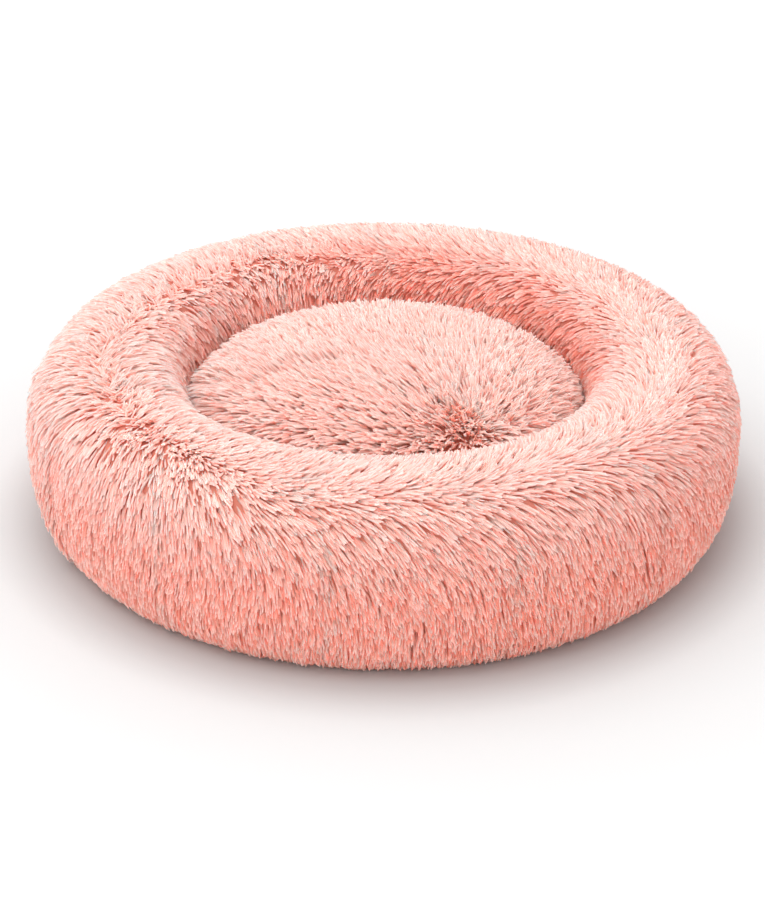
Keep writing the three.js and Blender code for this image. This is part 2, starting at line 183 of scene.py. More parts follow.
def plushMaterial(name, deepStops, paleStops):
    material, tree = newMaterial(name)
    strand = addNode(tree, "ShaderNodeUVMap", uv_map="strand")
    split = addNode(tree, "ShaderNodeSeparateXYZ", links={"Vector": strand.outputs["UV"]})
    steps = addNode(tree, "ShaderNodeMath", operation="MULTIPLY",
                    values={1: plush["tintSteps"]}, links={0: split.outputs["X"]})
    step = addNode(tree, "ShaderNodeMath", operation="FLOOR", links={0: steps.outputs[0]})
    within = addNode(tree, "ShaderNodeMath", operation="FRACT", links={0: steps.outputs[0]})
    # the tint step mixes the deep and pale ramps, and so carries the painted light and shade of
    # where a tuft grows
    tintShare = addNode(tree, "ShaderNodeMapRange", links={"Value": step.outputs[0]},
                        values={"From Max": plush["tintSteps"] - 1})
    body = addNode(tree, "ShaderNodeMapRange", interpolation_type="SMOOTHSTEP", values={
        "From Min": plush["edgeShare"],
        "From Max": plush["ridgeShare"],
    }, links={"Value": within.outputs[0]})
    deep = addNode(tree, "ShaderNodeValToRGB", links={"Fac": split.outputs["Y"]})
    pale = addNode(tree, "ShaderNodeValToRGB", links={"Fac": split.outputs["Y"]})
    setRamp(deep, deepStops)
    setRamp(pale, paleStops)
    tint = addNode(tree, "ShaderNodeMix", data_type="RGBA", links={
        0: tintShare.outputs[0],
        6: deep.outputs["Color"],
        7: pale.outputs["Color"],
    })
    # painted shade: the tuft's edges are darkened by the edge tone, so that it looks round
    edge = addNode(tree, "ShaderNodeMix", data_type="RGBA", blend_type="MULTIPLY",
                   values={0: 1.0, 7: linearColour(plush["edgeShadeTone"])}, links={6: tint.outputs[2]})
    colour = addNode(tree, "ShaderNodeMix", data_type="RGBA", links={
        0: body.outputs[0],
        6: edge.outputs[2],
        7: tint.outputs[2],
    })
    skin = addNode(tree, "ShaderNodeBsdfPrincipled", subsurface_method="BURLEY", values={
        "Roughness": plush["roughness"],
        "IOR": 1.48,
        "Specular IOR Level": 0.06,
        "Subsurface Weight": 1.0,
        "Subsurface Radius": plush["soakColours"],
        "Subsurface Scale": plush["soakDepth"],
    }, links={"Base Color": colour.outputs[2]})
    addNode(tree, "ShaderNodeOutputMaterial", links={"Surface": skin.outputs["BSDF"]})
    return material


# Cloth, fibre, resin and metal
def closeMaterial(tree, share, shade, light, height, depth, values):
    # share mixes the two tones, and height is the relief, depth metres deep
    colour = addNode(tree, "ShaderNodeMix", data_type="RGBA", links={0: share}, values={
        6: linearColour(shade),
        7: linearColour(light),
    })
    bump = addNode(tree, "ShaderNodeBump", values={"Strength": 0.8, "Distance": depth},
                   links={"Height": height})
    surface = addNode(tree, "ShaderNodeBsdfPrincipled", values=values, links={
        "Base Color": colour.outputs[2],
        "Normal": bump.outputs["Normal"],
    })
    addNode(tree, "ShaderNodeOutputMaterial", links={"Surface": surface.outputs["BSDF"]})


# Polyester Oxford: a plain weave of coarse dyed yarn, matt, with slubs that vary its colour.
# The yarn lies 0.55 mm apart in the real cloth and is drawn at twice that, so that it shows.
def wovenMaterial(name, yarn, shade, light, roughness):
    material, tree = newMaterial(name)
    place = addNode(tree, "ShaderNodeTexCoord")
    flat = addNode(tree, "ShaderNodeVectorMath", operation="MULTIPLY", values={1: (1, 1, 0)},
                   links={0: place.outputs["Object"]})
    across = {"Vector": flat.outputs[0]}
    perYarn = {"Scale": math.pi / 10 / yarn}
    warp = addNode(tree, "ShaderNodeTexWave", values=perYarn, links=across)
    weft = addNode(tree, "ShaderNodeTexWave", values=perYarn, links=across, bands_direction="Y")
    over = addNode(tree, "ShaderNodeTexChecker", values={"Scale": 1 / yarn}, links=across)
    slub = addNode(tree, "ShaderNodeTexNoise", values={"Scale": 0.2 / yarn, "Detail": 4.0},
                   links=across)
    weave = addNode(tree, "ShaderNodeMix", links={
        0: over.outputs["Fac"],
        2: warp.outputs["Fac"],
        3: weft.outputs["Fac"],
    })
    share = addNode(tree, "ShaderNodeMix", values={0: 0.5}, links={
        2: weave.outputs[0],
        3: slub.outputs["Fac"],
    })
    closeMaterial(tree, share.outputs[0], shade, light, weave.outputs[0], 0.25 * mm, {
        "Roughness": roughness,
        "Sheen Weight": 0.15,
    })
    return material


# Grosgrain: ribs run across the tape, which gives it a fine ladder of light and shade.
def ribbedMaterial(name, ribs, shade, light):
    material, tree = newMaterial(name)
    place = addNode(tree, "ShaderNodeTexCoord")
    around = addNode(tree, "ShaderNodeTexGradient", gradient_type="RADIAL",
                     links={"Vector": place.outputs["Object"]})
    turns = addNode(tree, "ShaderNodeMath", operation="MULTIPLY",
                    values={1: ribs * 2 * math.pi}, links={0: around.outputs["Fac"]})
    rib = addNode(tree, "ShaderNodeMath", operation="SINE", links={0: turns.outputs[0]})
    level = addNode(tree, "ShaderNodeMapRange", values={"From Min": -1.0},
                    links={"Value": rib.outputs[0]})
    share = level.outputs[0]
    closeMaterial(tree, share, shade, light, share, 0.2 * mm, {"Roughness": 0.75})
    return material


# Felted, carded and moulded surfaces, told apart by the size and depth of their grain
def grainMaterial(name, grain, depth, shade, light, values):
    material, tree = newMaterial(name)
    place = addNode(tree, "ShaderNodeTexCoord")
    noise = addNode(tree, "ShaderNodeTexNoise", links={"Vector": place.outputs["Object"]}, values={
        "Scale": 1 / grain,
        "Detail": 6.0,
        "Roughness": 0.6,
        "Distortion": 0.8,
    })
    share = noise.outputs["Fac"]
    closeMaterial(tree, share, shade, light, share, depth, values)
    return material


# Spunbonded polypropylene: pressed at points 2 mm apart, which dimple its papery surface.
def spunbondMaterial(name, points, shade, light):
    material, tree = newMaterial(name)
    place = addNode(tree, "ShaderNodeTexCoord")
    cells = addNode(tree, "ShaderNodeTexVoronoi", links={"Vector": place.outputs["Object"]},
                    values={"Scale": 1 / points, "Randomness": 0.15})
    dimple = addNode(tree, "ShaderNodeMapRange", links={"Value": cells.outputs["Distance"]},
                     values={"From Min": 0.15, "From Max": 0.35})
    share = dimple.outputs[0]
    closeMaterial(tree, share, shade, light, share, 0.15 * mm, {"Roughness": 0.8})
    return material


ringPlush = plushMaterial("acrylicPlushRing", plush["ringDeep"], plush["ringPale"])
cushionPlush = plushMaterial("acrylicPlushCushion", plush["cushionDeep"], plush["cushionPale"])
# Matted underfur over a knitted backing: deep salmon like the roots, partly painted shade between
# the tufts, uneven in tone, with no shine.
noShine = {"Roughness": 1.0, "Specular IOR Level": 0.1}
ringUnderfur = grainMaterial(
    "mattedUnderfurRing", 2.4 * mm, 0.6 * mm, "#fc907a", "#ffab98", noShine)
cushionUnderfur = grainMaterial(
    "mattedUnderfurCushion", 2.4 * mm, 0.6 * mm, "#fc967f", "#ffb2a0", noShine)
# Hollow polyester fibre, carded: white, soft and cloudy, with no hard highlight.
cardedFibre = grainMaterial(
    "cardedPolyesterFibre", 9 * mm, 3 * mm, "#e9e6e0", "#fdfcfa", noShine)
innerBagCloth = spunbondMaterial("spunbondedPolypropylene", 2 * mm, "#dedad5", "#f4f1ee")
oxfordCloth = wovenMaterial("wovenPolyesterOxford", 1.1 * mm, "#b98a80", "#d9b2a9", 0.85)
zipWeave = wovenMaterial("wovenZipTape", 0.9 * mm, "#c08d81", "#dfb1a6", 0.8)
sewingThread = wovenMaterial("spunPolyesterThread", 0.35 * mm, "#c98f83", "#eec4b9", 0.6)
bindingRibs = ribbedMaterial("grosgrainBinding", 1370, "#ab7468", "#cf9c90")
# Acetal, injection moulded: smooth and slightly waxy, with a soft highlight along its bevels.
mouldedAcetal = grainMaterial("mouldedAcetal", 1.5 * mm, 0.02 * mm, "#cf9b8f", "#dcab9f", {
    "Roughness": 0.38,
    "IOR": 1.48,
})
# Soft PVC printed in dots and cured: rubbery, satin, a little uneven.
gripPvc = grainMaterial("printedPvcDots", 1.2 * mm, 0.06 * mm, "#a9776c", "#bd8b80", {
    "Roughness": 0.5,
    "IOR": 1.52,
})
# Zinc, die cast, nickel plated and tumbled: a warm grey mirror with faint tumbling marks.
platedZinc = grainMaterial("nickelPlatedZinc", 0.6 * mm, 0.01 * mm, "#b3ada7", "#c6c1bc", {
    "Metallic": 1.0,
    "Roughness": 0.27,
})
print("materials mixed")


# The camera, at the place the bed was photographed from
photo = {
    "widthPixels": 765,
    "heightPixels": 900,
    "middlePixel": (385.2, 415.0),  # where the middle of the bed shows
    "pixelsAcross": 701.7,  # the bed's diameter, at the distance of its middle
    "distance": 2.2,
    "elevation": 26.7,
    "roll": 0.29,
    "middleHeight": 0.085,
    "sensorWidth": 36.0,
}
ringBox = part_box("bolster_outer_panel")
bedRadius = ringBox[1][0]


def placeCamera():
    perPixel = 2 * bedRadius / photo["pixelsAcross"]
    tilt = math.radians(photo["elevation"])
    middle = Vector((0, 0, photo["middleHeight"]))
    toCamera = Vector((0, -math.cos(tilt), math.sin(tilt)))
    imageUp = Vector((0, math.sin(tilt), math.cos(tilt)))
    aimRight = (photo["widthPixels"] / 2 - photo["middlePixel"][0]) * perPixel
    aimUp = (photo["middlePixel"][1] - photo["heightPixels"] / 2) * perPixel
    aim = middle + Vector((aimRight, 0, 0)) + imageUp * aimUp
    data = bpy.data.cameras.new("camera")
    data.sensor_width = photo["sensorWidth"]
    data.lens = data.sensor_width * photo["distance"] / (photo["heightPixels"] * perPixel)
    camera = bpy.data.objects.new("camera", data)
    camera.location = middle + toCamera * photo["distance"]
    turn = (aim - camera.location).to_track_quat("-Z", "Y")
    roll = Matrix.Rotation(math.radians(photo["roll"]), 4, "Z").to_quaternion()
    camera.rotation_mode = "QUATERNION"
    camera.rotation_quaternion = turn @ roll
    bpy.context.scene.collection.objects.link(camera)
    return camera


bpy.context.scene.camera = placeCamera()
bpy.context.scene.view_settings.view_transform = "Standard"
print("camera placed")


# Floor, room light and lamps
studio = {
    "floorSize": 12.0,
    "floorColour": "#f4f4f4",
    # metres from the middle, and the white added there for the camera, which leaves the shadow
    "glows": [(0.300, 0.0), (0.345, 0.18), (0.42, 0.23), (0.62, 0.33), (2.6, 0.62)],
    "roomColour": "#ffffff",
    "roomLight": 0.472,  # the camera itself sees the room at full strength, which is white
    "aimHeight": 0.08,
    "lamps": [
        # name, place, size, watts
        ("lampAbove", (-0.5, -0.1, 2.6), 3.2, 33.0),
        ("lampFront", (-0.9, -2.1, 2.0), 3.0, 7.5),
    ],
}


def seenDirectly(tree):
    # 1 for what the camera sees straight or in a gloss, otherwise 0
    path = addNode(tree, "ShaderNodeLightPath")
    seen = addNode(tree, "ShaderNodeMath", operation="MAXIMUM", links={
        0: path.outputs["Is Camera Ray"],
        1: path.outputs["Is Glossy Ray"],
    })
    return seen.outputs[0]


def floorMaterial():
    material, tree = newMaterial("paperFloor")
    paper = addNode(tree, "ShaderNodeBsdfDiffuse",
                    values={"Color": linearColour(studio["floorColour"])})
    place = addNode(tree, "ShaderNodeTexCoord")
    reach = addNode(tree, "ShaderNodeVectorMath", operation="LENGTH",
                    links={0: place.outputs["Object"]})
    total = None
    for (start, low), (end, high) in zip(studio["glows"], studio["glows"][1:]):
        rise = addNode(tree, "ShaderNodeMapRange", links={"Value": reach.outputs["Value"]}, values={
            "From Min": start,
            "From Max": end,
            "To Max": high - low,
        })
        level = rise.outputs["Result"]
        if total:
            level = addNode(tree, "ShaderNodeMath", operation="ADD",
                            links={0: level, 1: total}).outputs[0]
        total = level
    strength = addNode(tree, "ShaderNodeMath", operation="MULTIPLY",
                       links={0: seenDirectly(tree), 1: total})
    white = addNode(tree, "ShaderNodeEmission", links={"Strength": strength.outputs[0]})
    both = addNode(tree, "ShaderNodeAddShader", links={0: paper.outputs[0], 1: white.outputs[0]})
    addNode(tree, "ShaderNodeOutputMaterial", links={"Surface": both.outputs[0]})
    return material


def makeStudio():
    half = studio["floorSize"] / 2
    corners = [(-half, -half, 0), (half, -half, 0), (half, half, 0), (-half, half, 0)]
    floor = bpy.data.objects.new("floor", newMesh("floor", corners, [(0, 1, 2, 3)]))
    bpy.context.scene.collection.objects.link(floor)
    floor.data.materials.append(floorMaterial())
    world = bpy.data.worlds.new("studio")
    world.use_nodes = True
    bpy.context.scene.world = world
    tree = world.node_tree
    tree.nodes.clear()
    level = addNode(tree, "ShaderNodeMapRange", values={"To Min": studio["roomLight"]},
                    links={"Value": seenDirectly(tree)})
    room = addNode(tree, "ShaderNodeBackground", links={"Strength": level.outputs["Result"]},
                   values={"Color": linearColour(studio["roomColour"])})
    addNode(tree, "ShaderNodeOutputWorld", links={"Surface": room.outputs[0]})
    for name, place, size, watts in studio["lamps"]:
        data = bpy.data.lights.new(name, "AREA")
        data.shape = "DISK"
        data.size = size
        data.energy = watts
        lamp = bpy.data.objects.new(name, data)
        lamp.location = place
        toBed = Vector((0, 0, studio["aimHeight"])) - Vector(place)
        lamp.rotation_mode = "QUATERNION"
        lamp.rotation_quaternion = toBed.to_track_quat("-Z", "Y")
        bpy.context.scene.collection.objects.link(lamp)


makeStudio()
print("studio lit")


# Strands of pile. Each is a closed tuft with a ridge on its outer side and a blunt end.
tuft = {
    "along": np.array([0.0, 0.42, 0.86, 0.95, 1.0]),  # its four rings and its tip
    "swell": np.array([0.6, 0.95, 1.0, 0.85]),  # its width at each ring
    "corners": np.radians([-90, 30, 150]),  # the ridge first, then both edges
    "tipDrop": 0.35,
    "lean": (1.1, 0.8),  # powers of its length by which it reaches on and rises
    "lowest": 0.8 * mm,
    "lockSizes": (0.88, 1.12),
    "strandReaches": (0.80, 1.10),
    "strandHeights": (0.85, 1.10),
    "strandWidths": (0.82, 1.18),
    "underHeights": (0.80, 0.98),
    "underWidth": 1.3,
    "proudShare": 0.07,  # a few ends stand out of the nap
    "proudHeight": 1.40,
    "uprightReach": 0.85,  # what pile that stands up loses in reach and gains in height
    "uprightHeight": 0.25,
    "uprightTurns": (6, 5),  # how much more its locks, and its strands, stray
    "tintSpreads": (0.05, 0.07),  # from lock to lock, and from strand to strand
}
strandSteps = len(tuft["swell"])
strandSides = len(tuft["corners"])


def strandPoints(paths, normals, widths, thickShare):
    ways = np.diff(paths, axis=1)
    ways /= np.linalg.norm(ways, axis=2, keepdims=True) + 1e-12
    across = np.cross(ways, normals[:, None, :])
    across /= np.linalg.norm(across, axis=2, keepdims=True) + 1e-12
    inward = np.cross(ways, across)
    half = widths[:, None, None, None] * tuft["swell"][None, :, None, None] / 2
    wide = across[:, :, None, :] * np.cos(tuft["corners"])[None, None, :, None]
    deep = inward[:, :, None, :] * np.sin(tuft["corners"])[None, None, :, None] * thickShare
    rings = paths[:, :strandSteps, None, :] + half * (wide + deep)
    drop = inward[:, -1:, :] * widths[:, None, None] * thickShare * tuft["tipDrop"]
    return np.concatenate([rings.reshape(len(paths), -1, 3), paths[:, -1:, :] - drop], axis=1)


def strandMesh(name, paths, normals, widths, tints, levels, thickShare):
    # paths holds five points a strand, normals the way out of the cloth at its root
    # levels says where on the colour ramp each strand begins and how far up it gets
    count = len(paths)
    faces = loftFaces(0, strandSteps, strandSides, tip=True)
    loops = np.concatenate(faces)
    starts = np.cumsum([0] + [len(face) for face in faces[:-1]])
    perStrand = strandSteps * strandSides + 1
    points = strandPoints(paths, normals, widths, thickShare)
    mesh = bpy.data.meshes.new(name)
    mesh.vertices.add(count * perStrand)
    mesh.vertices.foreach_set("co", points.reshape(-1).astype(np.float32))
    allLoops = (loops[None, :] + (np.arange(count) * perStrand)[:, None]).reshape(-1)
    allStarts = (starts[None, :] + (np.arange(count) * len(loops))[:, None]).reshape(-1)
    mesh.loops.add(len(allLoops))
    mesh.loops.foreach_set("vertex_index", allLoops.astype(np.int32))
    mesh.polygons.add(len(allStarts))
    mesh.polygons.foreach_set("loop_start", allStarts.astype(np.int32))
    mesh.update(calc_edges=True)
    mesh.polygons.foreach_set("use_smooth", np.zeros(len(allStarts), dtype=bool))
    steps, edge = plush["tintSteps"], plush["edgeShare"]
    ringOf = np.minimum(loops // strandSides, strandSteps)
    atRidge = (loops % strandSides == 0) | (ringOf == strandSteps)
    low, high = levels[:, :1], levels[:, 1:]
    along = (low + (high - low) * tuft["along"][ringOf][None, :]).reshape(-1) * 0.96 + 0.02
    # U holds the tint step, and the ridge or edges within it, where the material paints a tuft's
    # shade
    step = np.clip(np.floor(tints * steps), 0, steps - 1)
    across = ((step[:, None] + np.where(atRidge, 1 - edge, edge)[None, :]) / steps).reshape(-1)
    flat = np.stack([across, along], axis=1).reshape(-1).astype(np.float32)
    for layer in ("strand", "OFBake"):
        mesh.uv_layers.new(name=layer).data.foreach_set("uv", flat)
    return mesh


def spread(count, shift):
    # evenly scattered pairs between 0 and 1, the same in every run
    i = np.arange(count) + shift
    return (0.5 + i * 0.7548776662466927) % 1, (0.5 + i * 0.5698402909980532) % 1


def turnedBy(way, angle):
    left = np.stack([-way[:, 1], way[:, 0]], axis=1)
    return way * np.cos(angle)[:, None] + left * np.sin(angle)[:, None]


def strandPaths(place, where, way, upright, reach, height):
    onPower, upPower = tuft["lean"]
    reach = reach * (1 - tuft["uprightReach"] * upright)
    height = height * (1 + tuft["uprightHeight"] * upright)
    points = []
    for t in tuft["along"]:
        forward = (reach * t ** onPower)[:, None]
        points.append(place(where, way * forward, height * t ** upPower))
    return np.stack([p[0] for p in points], axis=1), points[0][1]


def growPile(cover, seed, samples, place, nap, tint):
    # Locks of pile lean together: nap(where, rng) gives each lock's lean and how upright it stands.
    rng = np.random.default_rng(seed)
    count = cover["strands"]
    locks = count // cover["strandsPerLock"]
    where, lockWhere = samples(count, 0), samples(locks, 500000)
    lockWay, lockUp = nap(lockWhere, rng)
    lockMore, strandMore = tuft["uprightTurns"]
    lockTurn = rng.normal(0, math.radians(cover["lockTurn"]), locks) * (1 + lockMore * lockUp)
    lockReach = cover["pileReach"] * rng.uniform(*tuft["lockSizes"], locks)
    lockHeight = cover["pileHeight"] * rng.uniform(*tuft["lockSizes"], locks)
    lockPaths, _ = strandPaths(place, lockWhere, turnedBy(lockWay, lockTurn), lockUp,
                               lockReach, lockHeight)
    tree = kdtree.KDTree(locks)
    for i, point in enumerate(lockPaths[:, 0]):
        tree.insert(point, i)
    tree.balance()
    roots, _ = place(where, np.zeros((count, 2)), np.zeros(count))
    lock = np.array([tree.find(point)[1] for point in roots])  # the one each strand is in
    turn = rng.normal(0, math.radians(cover["strandTurn"]), count)
    turn = lockTurn[lock] + turn * (1 + strandMore * lockUp[lock])
    reach = lockReach[lock] * rng.uniform(*tuft["strandReaches"], count)
    height = lockHeight[lock] * rng.uniform(*tuft["strandHeights"], count)
    under = np.arange(count) * 0.6180339887 % 1 < cover["underShare"]
    height = height * np.where(under, rng.uniform(*tuft["underHeights"], count), 1.0)
    proud = np.arange(count) * 0.7548776662 % 1 < tuft["proudShare"]
    height = height * np.where(proud & ~under, tuft["proudHeight"], 1.0)
    own, normals = strandPaths(place, where, turnedBy(lockWay[lock], turn), lockUp[lock],
                               reach, height)
    gather = (cover["gather"] * tuft["along"] ** 1.4)[None, :, None] * ~under[:, None, None]
    own = own * (1 - gather) + lockPaths[lock] * gather
    own[:, :, 2] = np.maximum(own[:, :, 2], tuft["lowest"])
    widths = cover["pileWidth"] * rng.uniform(*tuft["strandWidths"], count)
    widths = widths * np.where(under, tuft["underWidth"], 1.0)
    lockTint, strandTint = tuft["tintSpreads"]
    # tint(where) adds the place's painted light and shade to the random tone from lock to lock and
    # strand to strand
    tints = rng.normal(0, lockTint, locks)[lock] + rng.normal(0, strandTint, count) + tint(where)
    # under strands stop low on the ramp, so the gaps between tufts show deep colour, painted shade
    levels = np.stack([0.5 * lockUp[lock], np.where(under, cover["underLevel"], 1.0)], axis=1)
    return own, normals, widths, tints, levels


def coverWithPile(name, cover, body, material, angles, pile):
    # split into pieces of the same size along lines that the strands run along
    order = np.argsort(angles % (2 * math.pi), kind="stable")
    for s, chosen in enumerate(np.array_split(order, cover["sectors"])):
        mesh = strandMesh(f"{name}_{s + 1:02d}", *(part[chosen] for part in pile),
                          cover["thickShare"])
        newPiece(f"{name}_{s + 1:02d}", mesh, material, body)


# Covers. Each is a section turned round the bed's middle, on which the pile has its roots.
def squaredQuarter(reach, rise, share, turns):
    # a quarter of an ellipse, squarer the further its share is below 1
    angle = turns * math.pi / 2
    across, up = np.clip(np.cos(angle), 0, 1), np.clip(np.sin(angle), 0, 1)
    return reach * across ** share, rise * up ** share


def evenSection(radii, heights, count, facing):
    # points the same way apart, each with the way out of the cover
    arc = np.concatenate([[0], np.cumsum(np.hypot(np.diff(radii), np.diff(heights)))])
    even = np.linspace(0, arc[-1], count)
    radii, heights = np.interp(even, arc, radii), np.interp(even, arc, heights)
    dr, dz = np.gradient(radii), np.gradient(heights)
    length = np.hypot(dr, dz) * facing
    return {"arc": even, "r": radii, "z": heights, "nr": dz / length, "nz": -dr / length}


def onSkin(skin, arc, angle, height, tuck, drop):
    # tuck and drop move pile that leans past the cover's edge
    r, z, nr, nz = (np.interp(arc, skin["arc"], skin[key]) for key in ("r", "z", "nr", "nz"))
    r, z = r + nr * height - tuck, z + nz * height - drop
    point = np.stack([r * np.cos(angle), r * np.sin(angle), z], axis=-1)
    out = np.stack([nr * np.cos(angle), nr * np.sin(angle), nz], axis=-1)
    return point, out


def arcAt(share, skin, weight):
    # how far along the section this share of the weight lies
    total = np.concatenate([[0], np.cumsum((weight[1:] + weight[:-1]) / 2)])
    return np.interp(share * total[-1], total, skin["arc"])


# The ring's section runs from the base seam over the crest and down into the well
ring = {
    "wellRadius": 0.170,
    "widestHeight": 0.087,
    "outerTopShare": 0.86,
    "wellTopShare": 0.74,
    "footShare": 0.71,
    "backingDepth": 0.0090,  # from the tips of the pile in to its roots
    "groundDepth": 0.0036,  # and to the matted underfur that closes the gaps
    "clothDepth": 0.0158,  # and to the back of the cloth, where the inner bag begins
    "footHeight": 0.003,
    "strands": 110000,
    "strandsPerLock": 4,
    "pileWidth": 2.15 * mm,
    "pileReach": 0.027,
    "pileHeight": 0.0094,
    "thickShare": 0.55,  # a strand's thickness in its width
    "underShare": 0.50,  # low strands that fill the gaps
    "underLevel": 0.64,  # how far up the colour ramp they get, so that they stay deep, painted shade in the gaps
    "lockTurn": 4.5,  # degrees that locks stray from the nap, and strands from their lock
    "strandTurn": 5,
    "gather": 0.22,  # how far a strand's tip is drawn to the middle of its lock
    "sectors": 13,
    "seed": 11,
    "parting": (0.010, 0.025),  # metres from the crest to the well, and how far that swings
    "partingWaves": [(0.004, 5, 0.7), (0.003, 11, 0.0)],
    "partingPull": (0.55, 0.024),  # pile set closer at the parting, and how near to it
    "partingUpright": (0.26, 0.52, 0.012),  # and standing up, more where it isn't combed round
    "combEnds": (85, 135),  # degrees round the ring between which the combing fades out
    "combBegins": (200, 248),
    "combTurn": 88,  # degrees from the parting's own direction
    "combReach": 0.028,
    "hiddenWeight": (0.085, 0.45),  # pile below this height in the well is set wider
    "wallShade": 0.92,  # painted shade: how much deeper the tint gets down either wall, away from the light on top
    "outerFade": (-0.015, 0.105),
    "wellFade": (0.016, 0.062),
    "sideShade": (0.11, 0.03),  # painted light and shade: paler on the left and at the front, where the lamps are, deeper on the right and at the rear
}
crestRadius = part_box("bolster_inner_panel")[1][0]
crestHeight = ringBox[1][2]
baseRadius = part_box("base_panel_front")[1][0]
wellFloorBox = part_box("well_floor_panel")


def ringQuarters(inset, drop, turns):
    # from the foot outside over the crest to the foot inside
    rise = crestHeight - ring["widestHeight"] - inset
    outReach = bedRadius - crestRadius - inset
    inReach = crestRadius - ring["wellRadius"] - inset
    quarters = [
        squaredQuarter(outReach, -drop, ring["footShare"], 1 - turns),
        squaredQuarter(outReach, rise, ring["outerTopShare"], turns),
        squaredQuarter(-inReach, rise, ring["wellTopShare"], 1 - turns),
        squaredQuarter(-inReach, -drop, ring["footShare"], turns),
    ]
    radii = crestRadius + np.concatenate([r for r, z in quarters])
    heights = ring["widestHeight"] + np.concatenate([z for r, z in quarters])
    return radii, heights


def ringSection(inset, count=700):
    drop = ring["widestHeight"] - ring["footHeight"]
    radii, heights = ringQuarters(inset, drop, np.linspace(0, 1, 400))
    keep = (radii > baseRadius) | (heights > ring["widestHeight"]) | (radii < crestRadius)
    keep &= (radii > crestRadius) | (heights > wellFloorBox[1][2])
    return evenSection(radii[keep], heights[keep], count, 1)


ringSkin = ringSection(ring["backingDepth"])
crestArc = ringSkin["arc"][int(np.argmax(ringSkin["z"]))]


def onRing(where, shift, height):
    # where holds places as arc length and angle, shift how far on from them in metres
    arc = where[:, 0] + shift[:, 0]
    angle = where[:, 1] + shift[:, 1] / 0.24
    past = np.clip(ringSkin["arc"][0] - arc, 0, None)
    return onSkin(ringSkin, arc, angle, height, past * 0.3, 0)


def partingArc(angle):
    near, swing = ring["parting"]
    arc = crestArc + (near + swing * np.sin(angle))
    for size, waves, phase in ring["partingWaves"]:
        arc = arc + size * np.sin(waves * angle + phase)
    return arc


def ringSamples(count, shift):
    u, v = spread(count, shift)
    below, weight = ring["hiddenWeight"]
    hidden = (ringSkin["arc"] > crestArc) & (ringSkin["z"] < below)
    arc = arcAt(v, ringSkin, ringSkin["r"] * np.where(hidden, weight, 1.0))
    angle = u * 2 * math.pi
    off = arc - partingArc(angle)
    pull, near = ring["partingPull"]
    return np.stack([arc - pull * off * np.exp(-(off / near) ** 2), angle], axis=1)


def combed(angle):
    # 1 where the pile is combed round the ring, and 0 at the left rear, where it isn't
    turn = np.degrees(angle) % 360
    return 1 - smoothStep(turn, *ring["combEnds"]) + smoothStep(turn, *ring["combBegins"])


def flowAngle(where):
    # the angle at which the line of pile through each place leaves the parting
    off = np.minimum(np.abs(where[:, 0] - partingArc(where[:, 1])), 0.05)
    return where[:, 1] - 0.076 * combed(where[:, 1]) * np.log1p(off / 0.004)


def ringNap(where, rng):
    arc, angle = where[:, 0], where[:, 1] % (2 * math.pi)
    swept = combed(angle + rng.normal(0, math.radians(6), len(arc)))
    off = arc - partingArc(angle) + rng.normal(0, 1, len(arc)) * (0.003 + 0.006 * (1 - swept))
    fan = math.radians(ring["combTurn"]) * (1 - np.exp(-np.abs(off) / ring["combReach"]))
    fan = fan * swept + math.pi / 2 * (1 - swept)
    fan = fan + 0.07 * np.sin(4 * angle + 40 * arc) + 0.06 * np.sin(9 * angle - 70 * arc + 1.0)
    way = np.stack([np.sign(off) * np.sin(fan), np.cos(fan)], axis=1)
    low, more, near = ring["partingUpright"]
    return way, np.exp(-(off / near) ** 2) * (low + more * (1 - swept))


def ringLightAndShade(where):
    # painted light and shade: pile on top and on the lip of the well is paler, where the light
    # falls, than pile low on either wall, which is painted deeper
    off, angle = where[:, 0] - crestArc, where[:, 1]
    outer = 1 - ring["wallShade"] * smoothStep(-off, *ring["outerFade"])
    well = 1 - ring["wallShade"] * smoothStep(off, *ring["wellFade"])
    right, rear = ring["sideShade"]
    return np.minimum(outer, well) - (right * np.cos(angle) + rear * np.sin(angle))


def makeRingBacking():
    skin = ringSection(ring["groundDepth"], 120)
    inside = ringSection(ring["clothDepth"], 120)
    crest = int(np.argmax(skin["z"]))
    parts = [
        ("ring_backing_outer", slice(0, crest), "bolster_outer_panel"),
        ("ring_backing_well", slice(crest, None), "bolster_inner_panel"),
    ]
    for name, span, node in parts:
        outer = list(zip(skin["r"][span], skin["z"][span]))
        inner = list(zip(inside["r"][span], inside["z"][span]))[::-1]
        mesh = revolvedMesh(name, [outer + inner], 192)
        piece = newPiece(name, mesh, ringUnderfur, "bed", node)


def makeRingPile():
    pile = growPile(ring, ring["seed"], ringSamples, onRing, ringNap, ringLightAndShade)
    angles = flowAngle(ringSamples(ring["strands"], 0))
    coverWithPile("ring_pile", ring, "bed", ringPlush, angles, pile)


makeRingBacking()
makeRingPile()
print("ring covered")


